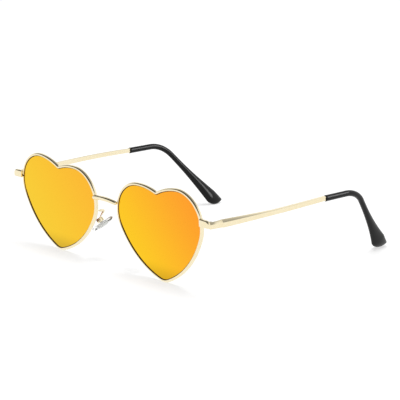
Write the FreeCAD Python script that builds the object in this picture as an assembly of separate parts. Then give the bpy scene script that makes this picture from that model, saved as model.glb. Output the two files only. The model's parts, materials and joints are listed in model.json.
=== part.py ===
import FreeCAD, Part
import math
import os

# Heart shaped sunglasses with thin metal rims, a wire bridge, folding temples
# with soft tips and rocking nose pads. Lengths are millimetres, angles degrees.
# +X is the wearer's left, +Y runs back along the temples, +Z is up. The origin
# is on the surface that the open glasses stand on, under the middle of their box.

# Heart opening of the rim, drawn with tangent arcs
heart_width = 56.0
heart_height = 43.4
lobe_radius = 14.6
shoulder_radius = 31.0
flank_radius = 42.5
tip_radius = 7.0
notch_radius = 2.75

# Rim wire and the groove that holds the lens
rim_width = 1.2
rim_depth = 2.0
rim_proud = 0.5
rim_web = 0.5
rim_lip = 0.75
groove_width = 0.9
rim_slit = 0.3

# Lens plate with a stepped edge
lens_thickness = 1.6
lens_clearance = 0.1
groove_clearance = 0.05

# Stance of each half of the front
spin_angle = 3.985
tilt_angle = 4.112
wrap_angle = 0.909
nose_gap = 15.0

# Bridge wire across the nose
bridge_radius = 1.1
bridge_up = 4.35
bridge_lap = 1.3
bridge_stand = 0.45
bridge_arch = 0.95
bridge_bow = 0.5

# Hinge place, counted from the outermost point of the rim
hinge_out = 2.85
hinge_back = 2.35
hinge_up = 1.1

# End piece and the two halves of the rim lock
butt_reach = 2.5
lug_thickness = 1.3
lug_height = 3.45
lug_rise = 1.0
lug_lap = 0.7
lug_corner = 0.8
lug_shoulder = 2.0
lock_half = 0.9
lock_lap = 0.5
lock_gap = 0.15
lock_back = 0.1
lock_clearance = 0.3
rim_screw_radius = 0.42
rim_screw_head_radius = 0.7
rim_screw_head_height = 0.3
rim_screw_cover = 0.4

# Hinge barrels, leaves and screw
barrel_radius = 1.0
leaf_height = 1.8
leaf_thickness = 0.5
middle_barrel_height = 0.75
barrel_side_clearance = 0.05
hinge_screw_radius = 0.5
hinge_screw_head_radius = 0.8
hinge_screw_head_height = 0.35
screw_seat_clearance = 0.02
running_clearance = 0.05
leaf_arm_start = 0.3
leaf_arm_front = 0.5
leaf_arm_back = 1.5
leaf_plate_start = 1.2
leaf_plate_end = 5.2
leaf_plate_height = 1.9
slot_width = 0.25
slot_depth = 0.2

# Temple: thin tongue at the hinge, then a tapering bar
tongue_inner = 1.5
tongue_thickness = 1.1
tongue_height = 2.05
tongue_fall = 0.25
tongue_rise = 1.85
tongue_nose = 0.9
tongue_nose_share = 0.16
tongue_back = 6.1
tongue_join = 0.6
butt_clearance = 0.05
bar_fall = 1.1
bar_start_height = 2.35
bar_end_height = 2.0
bar_thickness = 1.5
bar_swell = 0.9
bar_roof = 0.35
bar_roof_swell = 0.9
bar_corner = 0.3
bar_length = 64.9
bar_end_out = 0.25
bar_end_up = 2.1
bar_bow_out = 1.85
bar_bow_up = 0.4
bar_swell_share = 0.45
bar_place_shares = (0, 0.15, 0.3, 0.45, 0.6, 0.8, 1)
core_radius = 0.6
core_drop = 16.0

# Soft temple tip over the end of the bar
elbow_reach = 22.0
elbow_out = -0.3
elbow_up = 0.2
elbow_radius = 17.0
drop_angle = 46.9
lean_angle = 20.5
sleeve_start_height = 3.0
sleeve_start_thickness = 2.7
elbow_height = 2.9
elbow_thickness = 2.75
paddle_width = 7.8
paddle_thickness = 3.6
paddle_end = 7.0
heel_share = 1.0
paddle_twist = 15.0
sleeve_clearance = 0.05
sleeve_steps = 20
elbow_share = 0.5
round_place_shares = (0.35, 0.6, 0.8, 0.92, 0.98)

# Nose pad arm, a bent wire on the back of the rim
arm_radius = 0.55
arm_root_angle = 11.0
arm_sink = 0.3
arm_out = 1.1
arm_back = 4.7
arm_drop = 0.4
arm_bend = 2.0

# Nose pad and its place from the arm's root
pad_out = 3.6
pad_back = 5.6
pad_down = 7.7
pad_length = 12.0
pad_width = 6.6
pad_thickness = 3.2
pad_hollow = 0.7
pad_axis_shares = (-0.66, 0.45, 0.60)
pad_face_shares = (-0.525, 0.294, -0.80)

# Metal insert of the pad, its box and its screw
insert_length = 5.0
insert_width = 2.6
insert_thickness = 0.5
eye_radius = 0.65
eye_width = 1.1
eye_clearance = 0.1
pad_pivot = 1.95
box_gap = 0.35
box_length = 2.6
box_width = 2.7
box_roof = 0.4
box_head_room = 0.15
pad_screw_radius = 0.38
pad_screw_head_radius = 0.65
pad_screw_head_height = 0.35

# Overrun of every cut past the face it opens
overrun = 5.0

X_AXIS = FreeCAD.Vector(1, 0, 0)
Y_AXIS = FreeCAD.Vector(0, 1, 0)
Z_AXIS = FreeCAD.Vector(0, 0, 1)
ORIGIN = FreeCAD.Vector(0, 0, 0)


def point(x, y, z):
    return FreeCAD.Vector(x, y, z)


def block(x_low, x_high, y_low, y_high, z_low, z_high):
    """Box between two opposite corners."""
    corner = point(x_low, y_low, z_low)
    return Part.makeBox(x_high - x_low, y_high - y_low, z_high - z_low, corner)


def rod(radius, start, end):
    """Round rod from one point to another."""
    run = end - start
    return Part.makeCylinder(radius, run.Length, start, run)


def rounded_line(points, bend):
    """Edges along straight runs with one arc at each inner point."""
    edges = []
    last = points[0]
    for before, corner, after in zip(points, points[1:], points[2:]):
        toward = (before - corner).normalize()
        away = (after - corner).normalize()
        turn = math.pi - toward.getAngle(away)
        cut = bend * math.tan(turn / 2)
        centre = corner + (toward + away).normalize() * (bend / math.cos(turn / 2))
        middle = centre + (corner - centre).normalize() * bend
        enter = corner + toward * cut
        leave = corner + away * cut
        edges.append(Part.LineSegment(last, enter).toShape())
        edges.append(Part.Arc(enter, middle, leave).toShape())
        last = leave
    edges.append(Part.LineSegment(last, points[-1]).toShape())
    return edges


def bent_wire(radius, points, bend):
    """Round wire along straight runs with one arc at each inner point."""
    ring = Part.Wire(Part.makeCircle(radius, points[0], points[1] - points[0]))
    return Part.Wire(rounded_line(points, bend)).makePipeShell([ring], True, False)


# Heart outline in the rim's own plane: x outward from its axis, z up from its tip
lobe_centre = point(heart_width / 2 - lobe_radius, 0, heart_height - lobe_radius)
shoulder_centre = point(lobe_centre.x, 0, heart_height - shoulder_radius)
tip_centre = point(0, 0, tip_radius)
notch_rise = math.sqrt((shoulder_radius + notch_radius) ** 2 - shoulder_centre.x ** 2)
notch_centre = point(0, 0, shoulder_centre.z + notch_rise)


def flank_place():
    """Centre of the flank arc, which touches the lobe and the tip from inside."""
    to_lobe = flank_radius - lobe_radius
    to_tip = flank_radius - tip_radius
    base = lobe_centre - tip_centre
    along = (to_tip ** 2 - to_lobe ** 2 + base.Length ** 2) / (2 * base.Length)
    aside = math.sqrt(to_tip ** 2 - along ** 2)
    direction = base.normalize()
    inward = point(-direction.z, 0, direction.x)
    return tip_centre + direction * along + inward * aside


flank_centre = flank_place()


def heart_wire(offset, depth):
    """Heart outline, moved outward by offset, at a depth behind the lens front."""
    def touch(centre, away_from, radius):
        return centre + (centre - away_from).normalize() * radius

    lobe = lobe_radius + offset
    flank = flank_radius + offset
    tip = tip_radius + offset
    notch = notch_radius - offset
    shoulder = shoulder_radius + offset
    corners = [
        notch_centre - Z_AXIS * notch,
        touch(notch_centre, notch_centre * 2 - shoulder_centre, notch),
        lobe_centre + Z_AXIS * lobe,
        touch(lobe_centre, flank_centre, lobe),
        touch(tip_centre, flank_centre, tip),
        tip_centre - Z_AXIS * tip,
    ]
    arcs = [
        (notch_centre, notch),
        (shoulder_centre, shoulder),
        (lobe_centre, lobe),
        (flank_centre, flank),
        (tip_centre, tip),
    ]
    half = []
    for (centre, radius), start, end in zip(arcs, corners, corners[1:]):
        middle = centre + (start + end - centre * 2).normalize() * radius
        half.append(Part.Arc(start, middle, end).toShape())
    other = [edge.mirror(ORIGIN, X_AXIS) for edge in half]
    wire = Part.Wire(Part.__sortEdges__(half + other))
    wire.translate(Y_AXIS * depth)
    return wire


def heart_plate(offset, front, back):
    """Plate of heart outline between two depths."""
    return Part.Face(heart_wire(offset, front)).extrude(Y_AXIS * (back - front))


# Place of the left half of the front: it spins, tilts and wraps, stands on the
# surface with its tip, and leaves the nose gap free
spin = FreeCAD.Rotation(Y_AXIS, -spin_angle)
tilt = FreeCAD.Rotation(X_AXIS, tilt_angle)
wrap = FreeCAD.Rotation(Z_AXIS, wrap_angle)
stance = wrap.multiply(tilt).multiply(spin)
rim_reach = heart_width / 2 + rim_width
rim_back = rim_depth - rim_proud
nasal_point = stance.multVec(point(-rim_reach, 0, lobe_centre.z))
tip_point = stance.multVec(point(0, -rim_proud, tip_radius))
tip_fall = (tip_radius + rim_width) * math.hypot(stance.multVec(X_AXIS).z, stance.multVec(Z_AXIS).z)
half_place = FreeCAD.Placement(
    point(nose_gap / 2 - nasal_point.x, 0, tip_fall - tip_point.z), stance
)


def on_half(shape):
    return shape.transformed(half_place.toMatrix())


# Place of the left hinge: its pin tilts with the front
outer_point = half_place.multVec(point(rim_reach, 0, lobe_centre.z))
hinge_place = FreeCAD.Placement(outer_point + point(hinge_out, hinge_back, hinge_up), tilt)


def at_hinge(shape):
    return shape.transformed(hinge_place.toMatrix())


rim_envelope = on_half(heart_plate(rim_width, -rim_proud, rim_back))


def make_rim():
    """Heart ring with a lens groove, slit beside the rim lock."""
    groove_front = rim_lip - rim_proud
    opening = heart_plate(0, -rim_proud - overrun, rim_back + overrun)
    groove = heart_plate(rim_width - rim_web, groove_front, groove_front + groove_width)
    ring = rim_envelope.cut(on_half(opening.fuse(groove)))
    slit = block(-hinge_out - overrun, 0, -overrun, overrun, -rim_slit / 2, rim_slit / 2)
    return ring.cut(at_hinge(slit))


def make_lens():
    """Flat plate whose stepped edge sits in the rim's groove."""
    groove_front = rim_lip - rim_proud
    plate = heart_plate(-lens_clearance, 0, lens_thickness)
    step = heart_plate(
        rim_width - rim_web - lens_clearance,
        groove_front + groove_clearance,
        groove_front + groove_width - groove_clearance,
    )
    return on_half(plate.fuse(step).removeSplitter())


# Rim lock behind the end piece, in the hinge's frame
lug_top = lug_rise + lug_height / 2
lug_low = lug_rise - lug_height / 2
lock_inner = -hinge_out - lock_lap
lock_outer = -barrel_radius - lock_clearance
lock_front = -butt_reach + lock_gap
rim_screw_x = (lock_outer - hinge_out) / 2
rim_screw_y = (lock_back + lock_front) / 2
rim_screw_top = lock_half - rim_screw_cover


def rim_screw_axis(z):
    return point(rim_screw_x, rim_screw_y, z)


def make_end_piece():
    """Lug in front of the hinge, with the upper half of the rim lock behind it."""
    lug = block(
        -hinge_out - lug_lap,
        tongue_inner + tongue_thickness,
        -butt_reach - lug_thickness,
        -butt_reach,
        lug_low,
        lug_top,
    )
    shoulder_edge = [
        edge for edge in lug.Edges
        if edge.BoundBox.ZMin > 0 and edge.BoundBox.XMin > 0
    ]
    lug = lug.makeFillet(lug_shoulder, shoulder_edge)
    front_corner = [
        edge for edge in lug.Edges
        if edge.BoundBox.ZMin < 0 < edge.BoundBox.ZMax
        and edge.BoundBox.XMin > 0
        and edge.BoundBox.YMax < -butt_reach - lug_thickness / 2
    ]
    lug = lug.makeFillet(lug_corner, front_corner)
    upper = block(
        lock_inner, lock_outer, -butt_reach, lock_back, rim_slit / 2, lock_half
    )
    hole = rod(
        rim_screw_radius + screw_seat_clearance,
        rim_screw_axis(-lug_height),
        rim_screw_axis(rim_screw_top + screw_seat_clearance),
    )
    return at_hinge(lug.fuse(upper).cut(hole)).cut(rim_envelope)


def make_rim_lock():
    """Lower half of the rim lock, drawn up by the rim screw."""
    lower = block(
        lock_inner, lock_outer, lock_front, lock_back, -lock_half, -rim_slit / 2
    )
    hole = rod(
        rim_screw_radius + screw_seat_clearance,
        rim_screw_axis(-lug_height),
        rim_screw_axis(lug_height),
    )
    return at_hinge(lower.cut(hole)).cut(rim_envelope)


def slotted_head(radius, base, top):
    """Screw head with a driver slot across its end face."""
    head = rod(radius, base, top)
    normal = (top - base).normalize()
    slot = block(-radius, radius, -slot_width / 2, slot_width / 2, -slot_depth, slot_depth)
    slot.Placement = FreeCAD.Placement(top, FreeCAD.Rotation(Z_AXIS, normal))
    return head.cut(slot)


def make_rim_screw():
    seat = rim_screw_axis(-lock_half)
    under = rim_screw_axis(-lock_half - rim_screw_head_height)
    shank = rod(rim_screw_radius, seat, rim_screw_axis(rim_screw_top))
    return at_hinge(shank.fuse(slotted_head(rim_screw_head_radius, seat, under)))


def make_hinge_front_leaf():
    """Two barrels on arms, brazed to the back of the end piece."""
    gap_half = middle_barrel_height / 2 + barrel_side_clearance
    leaf = block(
        -barrel_radius,
        barrel_radius,
        -butt_reach,
        -butt_reach + leaf_thickness,
        -leaf_height / 2,
        leaf_height / 2,
    )
    for low, high in ((gap_half, leaf_height / 2), (-leaf_height / 2, -gap_half)):
        leaf = leaf.fuse(rod(barrel_radius, point(0, 0, low), point(0, 0, high)))
        leaf = leaf.fuse(block(-barrel_radius, barrel_radius, -butt_reach, 0, low, high))
    bore = rod(
        hinge_screw_radius + screw_seat_clearance,
        point(0, 0, -leaf_height),
        point(0, 0, leaf_height),
    )
    return at_hinge(leaf.cut(bore).removeSplitter())


def make_hinge_temple_leaf():
    """Middle barrel with an arm to a plate on the inside of the tongue."""
    half = middle_barrel_height / 2
    barrel = rod(barrel_radius, point(0, 0, -half), point(0, 0, half))
    arm = block(leaf_arm_start, tongue_inner, -leaf_arm_front, leaf_arm_back, -half, half)
    plate = block(
        tongue_inner - leaf_thickness,
        tongue_inner,
        leaf_plate_start,
        leaf_plate_end,
        -tongue_fall - leaf_plate_height / 2,
        -tongue_fall + leaf_plate_height / 2,
    )
    bore = rod(
        hinge_screw_radius + running_clearance,
        point(0, 0, -leaf_height),
        point(0, 0, leaf_height),
    )
    return at_hinge(barrel.fuse(arm).fuse(plate).cut(bore).removeSplitter())


def make_hinge_screw():
    top = point(0, 0, leaf_height / 2)
    shank = rod(hinge_screw_radius, point(0, 0, -leaf_height / 2), top)
    head = slotted_head(hinge_screw_head_radius, top, top + Z_AXIS * hinge_screw_head_height)
    return at_hinge(shank.fuse(head))


# Temple line: outer face of the bar flush with the tongue, elbow, and drop to the surface
tongue_outer = tongue_inner + tongue_thickness
tongue_front = -butt_reach + butt_clearance
bar_start = hinge_place.multVec(point(tongue_outer, tongue_back - tongue_join, -bar_fall))
bar_run = point(bar_end_out, bar_length, bar_end_up)
bar_end = bar_start + bar_run - X_AXIS * (bar_thickness / 2)
elbow = bar_end + point(elbow_out, elbow_reach, elbow_up)
drop_line = FreeCAD.Rotation(Z_AXIS, lean_angle).multVec(
    FreeCAD.Rotation(X_AXIS, -drop_angle).multVec(Y_AXIS)
)


def across(along, twist):
    """Thin direction of the sleeve: sideways, turned by a twist about its line."""
    side = (X_AXIS - along * along.x).normalize()
    return FreeCAD.Rotation(along, twist).multVec(side)


paddle_side = across(drop_line, paddle_twist)
paddle_up = paddle_side.cross(drop_line)
heel_lift = heel_share * paddle_width / 2
paddle_depth = math.hypot(paddle_width / 2 * paddle_up.z, paddle_thickness / 2 * paddle_side.z)
heel_depth = math.hypot(paddle_end * drop_line.z, heel_lift * paddle_up.z + paddle_depth)
paddle_fall = heel_depth - heel_lift * paddle_up.z
drop_length = (elbow.z - paddle_fall) / -drop_line.z
paddle_centre = elbow + drop_line * drop_length


def bar_section(share):
    """Four sided section with round corners, its roof rising inward, most near the hinge."""
    bow = 4 * share * (1 - share)
    outer = bar_start + bar_run * share + point(bar_bow_out, 0, bar_bow_up) * bow
    swell = max(1 - share / bar_swell_share, 0)
    wide = bar_thickness + bar_swell * swell
    tall = (bar_start_height + (bar_end_height - bar_start_height) * share) / 2
    corners = [
        outer - Z_AXIS * tall,
        outer + Z_AXIS * tall,
        outer + point(-wide, 0, tall + bar_roof + bar_roof_swell * swell),
        outer + point(-wide, 0, -tall),
    ]
    under = (corners[0] + corners[-1]) / 2
    return Part.Wire(rounded_line([under] + corners + [under], bar_corner))


def core_wire(radius, start):
    """Wire inside the sleeve, round the elbow and partly down the drop."""
    return bent_wire(radius, [start, elbow, elbow + drop_line * core_drop], elbow_radius)


def tongue_section(share, rise):
    """Four sided section of the tongue, falling toward the bar, with its inner edge raised."""
    back = tongue_front + (tongue_back - tongue_front) * share
    fall = tongue_fall + (bar_fall - tongue_fall) * share
    low = -fall - tongue_height / 2
    corners = [
        point(tongue_outer, back, low),
        point(tongue_outer, back, low + tongue_height),
        point(tongue_inner, back, rise),
        point(tongue_inner, back, low),
    ]
    return Part.makePolygon(corners + corners[:1])


def make_temple():
    """Tongue, tapering bar and the core wire that carries the sleeve."""
    tongue = Part.makeLoft(
        [
            tongue_section(0, tongue_nose),
            tongue_section(tongue_nose_share, tongue_rise),
            tongue_section(1, tongue_rise),
        ],
        True,
        True,
    )
    bar = Part.makeLoft([bar_section(share) for share in bar_place_shares], True, False)
    sunk = bar_end - (elbow - bar_end).normalize() * core_radius
    return at_hinge(tongue).fuse(bar).fuse(core_wire(core_radius, sunk))


def sleeve_section(centre, along, height, thickness, twist):
    """Oval across the sleeve, taller than thick."""
    side = across(along, twist)
    up = side.cross(along)
    oval = Part.Ellipse(centre + up * (height / 2), centre + side * (thickness / 2), centre)
    return Part.Wire(oval.toShape())


def sleeve_line(share):
    """Point and direction of the sleeve's middle line, at a share of its length."""
    straight = (elbow - bar_end).normalize()
    turn = straight.getAngle(drop_line)
    cut = elbow_radius * math.tan(turn / 2)
    before = (elbow - bar_end).Length - cut
    bend = elbow_radius * turn
    travel = share * (before + bend + drop_length - cut)
    if travel <= before:
        return bar_end + straight * travel, straight
    if travel >= before + bend:
        return elbow + drop_line * (cut + travel - before - bend), drop_line
    swing = FreeCAD.Rotation(straight.cross(drop_line), math.degrees((travel - before) / elbow_radius))
    toward = (drop_line - straight * straight.dot(drop_line)).normalize() * elbow_radius
    start = elbow - straight * cut
    return start + toward - swing.multVec(toward), swing.multVec(straight)


def make_temple_tip():
    """Sleeve with an elbow that widens to a paddle whose lower edge curves up at the end."""
    sections = []
    for step in range(sleeve_steps + 1):
        share = step / sleeve_steps
        centre, along = sleeve_line(share)
        growth = min(share / elbow_share, 1)
        spread = max((share - elbow_share) / (1 - elbow_share), 0)
        widen = spread ** 2
        height = sleeve_start_height + (elbow_height - sleeve_start_height) * growth
        thickness = sleeve_start_thickness + (elbow_thickness - sleeve_start_thickness) * growth
        height += (paddle_width - elbow_height) * widen
        thickness += (paddle_thickness - elbow_thickness) * widen
        sections.append(sleeve_section(centre, along, height, thickness, paddle_twist * widen))
    for place in round_place_shares:
        shrink = math.sqrt(1 - place ** 2)
        centre = paddle_centre + drop_line * (place * paddle_end)
        centre += paddle_up * (heel_lift * (1 - shrink))
        height = paddle_width * shrink
        thickness = paddle_thickness * shrink
        sections.append(sleeve_section(centre, drop_line, height, thickness, paddle_twist))
    sleeve = Part.makeLoft(sections, True, False)
    straight = (elbow - bar_end).normalize()
    return sleeve.cut(core_wire(core_radius + sleeve_clearance, bar_end - straight * overrun))


# Nose pad arm and pad, in the pad's own frame: y along it, z toward the nose
root_turn = math.radians(arm_root_angle)
root_reach = lobe_radius + rim_width / 2
arm_root = half_place.multVec(
    point(
        -lobe_centre.x - root_reach * math.cos(root_turn),
        rim_back,
        lobe_centre.z - root_reach * math.sin(root_turn),
    )
)
pad_axis = point(*pad_axis_shares).normalize()
pad_face = point(*pad_face_shares)
pad_face = (pad_face - pad_axis * pad_face.dot(pad_axis)).normalize()
pad_turn = FreeCAD.Rotation(pad_axis.cross(pad_face), pad_axis, pad_face, "ZYX")
pad_place = FreeCAD.Placement(arm_root + point(pad_out, pad_back, -pad_down), pad_turn)
box_low = -pad_hollow - box_gap
slot_roof = -pad_pivot - eye_radius - box_head_room
box_top = slot_roof - box_roof


def at_pad(shape):
    return shape.transformed(pad_place.toMatrix())


def pad_screw_axis(x):
    return point(x, 0, -pad_pivot)


def make_pad_insert():
    """Flat plate inside the pad, with an eye that stands out of its back."""
    half = eye_width / 2
    plate = block(
        -insert_width / 2,
        insert_width / 2,
        -insert_length / 2,
        insert_length / 2,
        -insert_thickness / 2,
        insert_thickness / 2,
    )
    neck = block(-half, half, -eye_radius, eye_radius, -pad_pivot, 0)
    eye = rod(eye_radius, pad_screw_axis(-half), pad_screw_axis(half))
    hole = rod(
        pad_screw_radius + running_clearance,
        pad_screw_axis(-box_width),
        pad_screw_axis(box_width),
    )
    return at_pad(plate.fuse(neck).fuse(eye).cut(hole).removeSplitter())


def make_nose_pad():
    """Clear oval pad, domed toward the nose and flat behind."""
    stretch = FreeCAD.Matrix()
    stretch.scale(pad_width / 2, pad_length / 2, pad_thickness / 2)
    dome = Part.makeSphere(1).transformGeometry(stretch)
    behind = block(
        -pad_width, pad_width, -pad_length, pad_length, -pad_thickness, -pad_hollow
    )
    return at_pad(dome.cut(behind)).cut(make_pad_insert())


def pad_box_shell():
    return block(-box_width / 2, box_width / 2, -box_length / 2, box_length / 2, box_top, box_low)


def make_pad_box():
    """Small box, open toward the pad, that straddles the eye."""
    slot_half = eye_width / 2 + eye_clearance
    slot = block(-slot_half, slot_half, -box_length, box_length, slot_roof, 0)
    hole = rod(
        pad_screw_radius + screw_seat_clearance,
        pad_screw_axis(-box_width),
        pad_screw_axis(box_width),
    )
    return at_pad(pad_box_shell().cut(slot).cut(hole))


def make_pad_screw():
    seat = pad_screw_axis(box_width / 2)
    end = pad_screw_axis(box_width / 2 + pad_screw_head_height)
    shank = rod(pad_screw_radius, pad_screw_axis(-box_width / 2), seat)
    return at_pad(shank.fuse(slotted_head(pad_screw_head_radius, seat, end)))


def make_pad_arm():
    """Wire from the back of the rim, round a bend, down to the roof of the box."""
    sink = half_place.Rotation.multVec(Y_AXIS) * arm_sink
    roof = pad_place.multVec(point(0, 0, box_top + box_roof / 2))
    corner = arm_root + point(arm_out, arm_back, -arm_drop)
    wire = bent_wire(arm_radius, [arm_root - sink, corner, roof], arm_bend)
    return wire.cut(rim_envelope).cut(at_pad(pad_box_shell()))


def make_bridge():
    """Arched wire whose ends lap onto the fronts of both rims."""
    reach = rim_reach - bridge_lap
    lap = half_place.multVec(point(-reach, -rim_proud - bridge_stand, lobe_centre.z + bridge_up))
    crown = point(0, lap.y - bridge_bow, lap.z + bridge_arch)
    far = point(-lap.x, lap.y, lap.z)
    path = Part.Wire(Part.Arc(far, crown, lap).toShape())
    start = path.Edges[0].tangentAt(path.Edges[0].FirstParameter)
    ring = Part.Wire(Part.makeCircle(bridge_radius, far, start))
    wire = path.makePipeShell([ring], True, False)
    return wire.cut(rim_envelope).cut(rim_envelope.mirror(ORIGIN, X_AXIS))


pairs = {
    "rim": make_rim(),
    "lens": make_lens(),
    "end_piece": make_end_piece(),
    "rim_lock": make_rim_lock(),
    "rim_screw": make_rim_screw(),
    "hinge_front_leaf": make_hinge_front_leaf(),
    "hinge_temple_leaf": make_hinge_temple_leaf(),
    "hinge_screw": make_hinge_screw(),
    "temple": make_temple(),
    "temple_tip": make_temple_tip(),
    "pad_arm": make_pad_arm(),
    "pad_box": make_pad_box(),
    "pad_screw": make_pad_screw(),
    "pad_insert": make_pad_insert(),
    "nose_pad": make_nose_pad(),
}
solids = {"bridge": make_bridge()}
for name, solid in pairs.items():
    solids[name + "_left"] = solid
    solids[name + "_right"] = solid.mirror(ORIGIN, X_AXIS)

# The middle of the whole box, front to back, comes over the origin
whole = FreeCAD.BoundBox()
for solid in solids.values():
    whole.add(solid.optimalBoundingBox())
to_origin = Y_AXIS * -whole.Center.y

os.makedirs("parts", exist_ok=True)
for name, solid in solids.items():
    solid.translate(to_origin)
    solid.exportStep(f"parts/{name}.step")
    print(name, len(solid.Solids), solid.isValid(), round(solid.Volume, 3))

print("box", whole.XLength, whole.YLength, whole.ZLength, "low", whole.ZMin)
print("left hinge", hinge_place.Base + to_origin, tilt.multVec(Z_AXIS))
print("left pad pivot", pad_place.multVec(pad_screw_axis(0)) + to_origin, pad_turn.multVec(X_AXIS))
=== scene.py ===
import bpy
import bmesh
import json
import math
from mathutils import Matrix, Vector


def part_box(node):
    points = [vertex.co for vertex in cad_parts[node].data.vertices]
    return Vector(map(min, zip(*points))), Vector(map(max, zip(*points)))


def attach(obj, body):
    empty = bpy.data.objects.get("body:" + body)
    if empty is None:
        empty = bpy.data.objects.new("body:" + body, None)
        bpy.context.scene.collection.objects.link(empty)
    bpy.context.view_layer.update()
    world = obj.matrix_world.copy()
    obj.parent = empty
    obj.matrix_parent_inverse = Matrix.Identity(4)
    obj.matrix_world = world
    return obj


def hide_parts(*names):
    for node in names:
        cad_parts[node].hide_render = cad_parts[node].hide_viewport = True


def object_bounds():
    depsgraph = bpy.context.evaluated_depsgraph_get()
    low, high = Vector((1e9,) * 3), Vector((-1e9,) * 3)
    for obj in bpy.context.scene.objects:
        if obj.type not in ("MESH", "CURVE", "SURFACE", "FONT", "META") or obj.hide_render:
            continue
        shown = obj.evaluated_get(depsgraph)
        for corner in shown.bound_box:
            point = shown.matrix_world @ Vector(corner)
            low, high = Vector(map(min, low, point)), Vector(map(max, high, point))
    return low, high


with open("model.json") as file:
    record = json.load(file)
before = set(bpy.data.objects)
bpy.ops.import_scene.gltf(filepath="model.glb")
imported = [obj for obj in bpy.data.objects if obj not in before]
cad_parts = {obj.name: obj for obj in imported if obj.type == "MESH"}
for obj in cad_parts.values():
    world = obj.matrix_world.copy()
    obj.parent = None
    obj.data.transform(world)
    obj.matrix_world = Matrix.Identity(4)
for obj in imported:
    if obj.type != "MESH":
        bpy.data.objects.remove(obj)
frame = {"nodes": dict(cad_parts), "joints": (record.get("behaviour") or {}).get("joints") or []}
cad_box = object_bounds()


# Rims
# Each rim is one gold plated wire with a lens groove rolled along its inner side, bent to a heart.
# Its two ends meet at the outer side, where the rim lock draws them together round the lens.
heart_width = 0.056
heart_height = 0.0434
lobe_radius = 0.0146
shoulder_radius = 0.031
flank_radius = 0.0425
tip_radius = 0.007
notch_radius = 0.00275
slit_angle = math.radians(3.5)
slit_gap = 0.0003
arc_step = 0.0006
arc_turn = math.radians(5)
rim_sizes = {
    "Width": 0.0012,
    "Depth": 0.002,
    "Proud": 0.0005,
    "Lip": 0.00075,
    "Groove Width": 0.0009,
    "Groove Depth": 0.0007,
    "Outer Round": 0.0009,
    "Inner Round": 0.00012,
}
rim_round_steps = 5
spin_angle = math.radians(3.985)
tilt_angle = math.radians(4.112)
wrap_angle = math.radians(0.909)
stance = (
    Matrix.Rotation(wrap_angle, 4, "Z")
    @ Matrix.Rotation(tilt_angle, 4, "X")
    @ Matrix.Rotation(-spin_angle, 4, "Y")
)
gold_dull = (247, 231, 190)
gold_bright = (254, 244, 214)
gold_smooth = 0.13
gold_coarse = 0.2
gold_cloud_scale = 420
gold_cloud_detail = 3
gold_line_scale = 3800
gold_line_strength = 0.06
gold_line_depth = 0.00002
weld_distance = 1e-7
crisp_angle = math.radians(40)


def shade(red, green, blue):
    """Linear colour of a shade that is written as it looks, in 256 steps."""
    steps = [step / 255 for step in (red, green, blue)]
    return [v / 12.92 if v < 0.04045 else ((v + 0.055) / 1.055) ** 2.4 for v in steps] + [1]


def add_node(tree, kind, inputs=None, **settings):
    """New node with its settings, and its inputs linked or set."""
    made = tree.nodes.new(kind)
    for name, value in settings.items():
        setattr(made, name, value)
    for name, value in (inputs or {}).items():
        if isinstance(value, bpy.types.NodeSocket):
            tree.links.new(value, made.inputs[name])
        else:
            made.inputs[name].default_value = value
    return made


def new_finish(name):
    """Empty material with its tree, its shader and the piece's own coordinates."""
    finish = bpy.data.materials.new(name)
    finish.use_nodes = True
    tree = finish.node_tree
    place = add_node(tree, "ShaderNodeTexCoord").outputs["Object"]
    return finish, tree, tree.nodes["Principled BSDF"], place


def blend_of(tree, factor, low, high):
    """Colour between two shades, or grey between two numbers, by a factor."""
    ramp = add_node(tree, "ShaderNodeValToRGB", {"Fac": factor})
    for stop, value in zip(ramp.color_ramp.elements, (low, high)):
        stop.color = value if isinstance(value, list) else [value, value, value, 1]
    return ramp.outputs["Color"]


def cloud_of(tree, place, scale, detail=2):
    """Soft random pattern between zero and one, finer with a larger scale."""
    sources = {"Vector": place, "Scale": scale, "Detail": detail}
    return add_node(tree, "ShaderNodeTexNoise", sources).outputs["Fac"]


def bump_of(tree, pattern, strength, depth):
    """Surface that a pattern raises by up to a depth."""
    sources = {"Strength": strength, "Distance": depth, "Height": pattern}
    return add_node(tree, "ShaderNodeBump", sources).outputs["Normal"]


def pale_gold_finish():
    """Polished pale gold plating with faint clouding and fine polishing lines."""
    finish, tree, shader, place = new_finish("pale_gold")
    cloud = cloud_of(tree, place, gold_cloud_scale, gold_cloud_detail)
    lines = cloud_of(tree, place, gold_line_scale)
    colour = blend_of(tree, cloud, shade(*gold_dull), shade(*gold_bright))
    rough = blend_of(tree, cloud, gold_smooth, gold_coarse)
    bump = bump_of(tree, lines, gold_line_strength, gold_line_depth)
    tree.links.new(colour, shader.inputs["Base Color"])
    tree.links.new(rough, shader.inputs["Roughness"])
    tree.links.new(bump, shader.inputs["Normal"])
    shader.inputs["Metallic"].default_value = 1
    return finish


pale_gold = pale_gold_finish()


def arc(centre, radius, offset, start, end):
    """Points of an arc without its last one, moved by offset along its radius."""
    steps = math.ceil(abs(end - start) * max(radius / arc_step, 1 / arc_turn))
    angles = [start + (end - start) * step / steps for step in range(steps)]
    return [centre + Vector((math.cos(a), math.sin(a))) * (radius + offset) for a in angles]


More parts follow.
